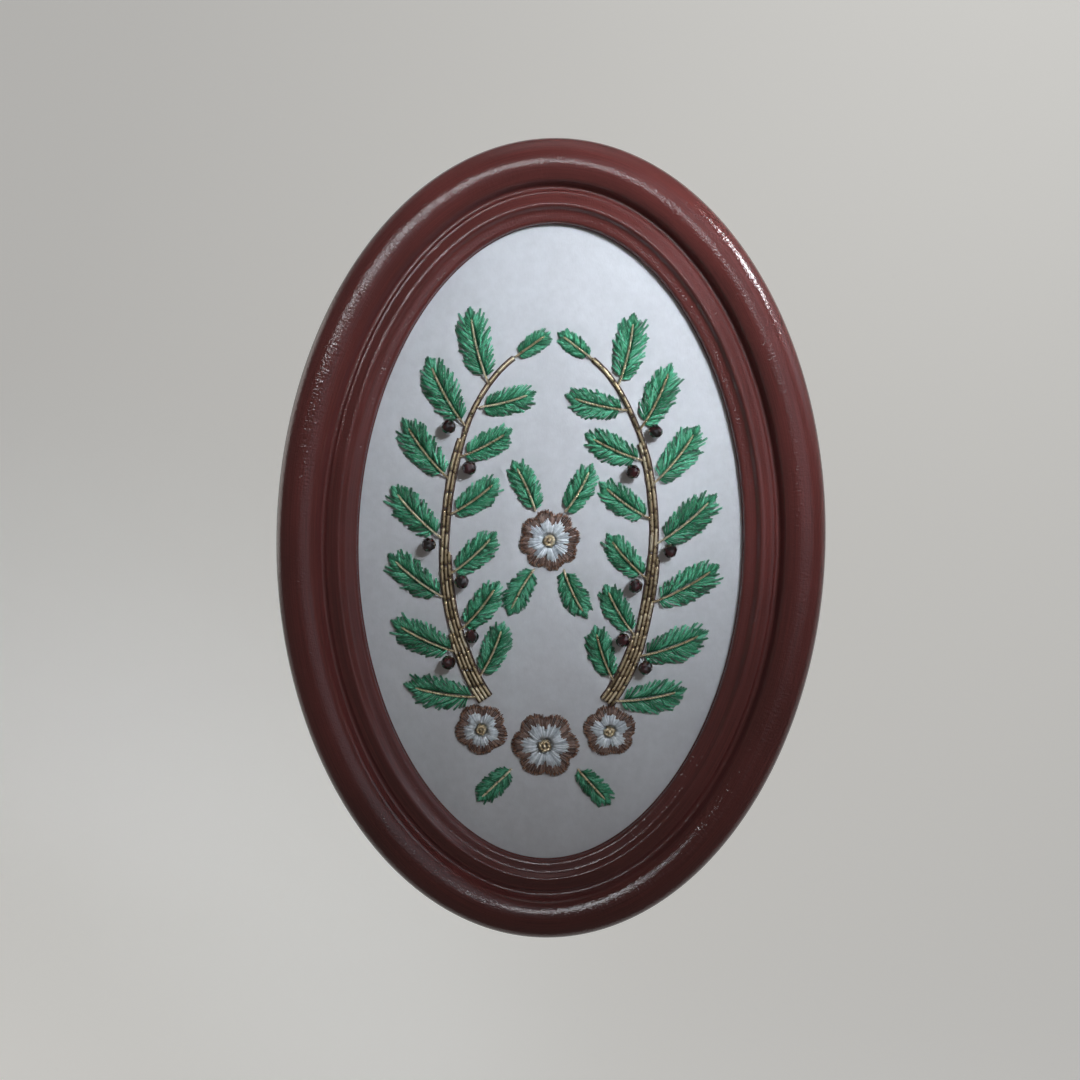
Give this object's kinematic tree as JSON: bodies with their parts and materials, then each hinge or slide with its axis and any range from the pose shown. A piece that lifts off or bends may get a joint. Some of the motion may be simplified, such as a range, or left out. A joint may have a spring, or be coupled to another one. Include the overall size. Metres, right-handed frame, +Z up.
{
  "type": "embroidered wall hanging in an oval wooden frame",
  "caption": "Oval wall hanging: velvet stitched with a garland of leaves, flowers and beads, stretched over a padded panel in a lacquered wooden moulding.",
  "frame": {"origin": "middle of the flat back, in the plane that meets the wall", "axes": "+Z up, -Y out of the wall towards the viewer, +X to the viewer's right"},
  "size_m": [0.15, 0.0151, 0.22],
  "materials": {
    "lacquered_wood": "glossy dark red-brown lacquer with a fine orange-peel texture",
    "velvet": "pale silver-grey velvet with a soft short nap",
    "board": "plain brown hardboard",
    "green_silk": "emerald green stranded silk in straight stitches",
    "gold_purl": "antique gold metal purl, couched in rows",
    "white_silk": "white and brown silk in satin stitch with a coppery rim",
    "garnet_glass": "near-black garnet red faceted glass, polished"
  },
  "bodies": {
    "root": {"backing_board": "board", "bead_left_inner_2": "garnet_glass", "bead_left_inner_3": "garnet_glass", "bead_left_inner_5": "garnet_glass", "bead_left_outer_2": "garnet_glass", "bead_left_outer_4": "garnet_glass", "bead_left_outer_6": "garnet_glass", "bead_right_inner_2": "garnet_glass", "bead_right_inner_3": "garnet_glass", "bead_right_inner_5": "garnet_glass", "bead_right_outer_2": "garnet_glass", "bead_right_outer_4": "garnet_glass", "bead_right_outer_6": "garnet_glass", "flower_bottom": "white_silk", "flower_left": "white_silk", "flower_right": "white_silk", "leaf_left_inner_1": "green_silk", "leaf_left_inner_2": "green_silk", "leaf_left_inner_3": "green_silk", "leaf_left_inner_4": "green_silk", "leaf_left_inner_5": "green_silk", "leaf_left_inner_6": "green_silk", "leaf_left_outer_1": "green_silk", "leaf_left_outer_2": "green_silk", "leaf_left_outer_3": "green_silk", "leaf_left_outer_4": "green_silk", "leaf_left_outer_5": "green_silk", "leaf_left_outer_6": "green_silk", "leaf_left_outer_7": "green_silk", "leaf_left_tip": "green_silk", "leaf_right_inner_1": "green_silk", "leaf_right_inner_2": "green_silk", "leaf_right_inner_3": "green_silk", "leaf_right_inner_4": "green_silk", "leaf_right_inner_5": "green_silk", "leaf_right_inner_6": "green_silk", "leaf_right_outer_1": "green_silk", "leaf_right_outer_2": "green_silk", "leaf_right_outer_3": "green_silk", "leaf_right_outer_4": "green_silk", "leaf_right_outer_5": "green_silk", "leaf_right_outer_6": "green_silk", "leaf_right_outer_7": "green_silk", "leaf_right_tip": "green_silk", "leaf_rosette_1": "green_silk", "leaf_rosette_2": "green_silk", "leaf_rosette_3": "green_silk", "leaf_rosette_4": "green_silk", "leaf_tail_1": "green_silk", "leaf_tail_2": "green_silk", "moulding": "lacquered_wood", "padded_panel": "velvet", "rosette": "white_silk", "stem_left": "gold_purl", "stem_right": "gold_purl"}
  },
  "joints": []
}
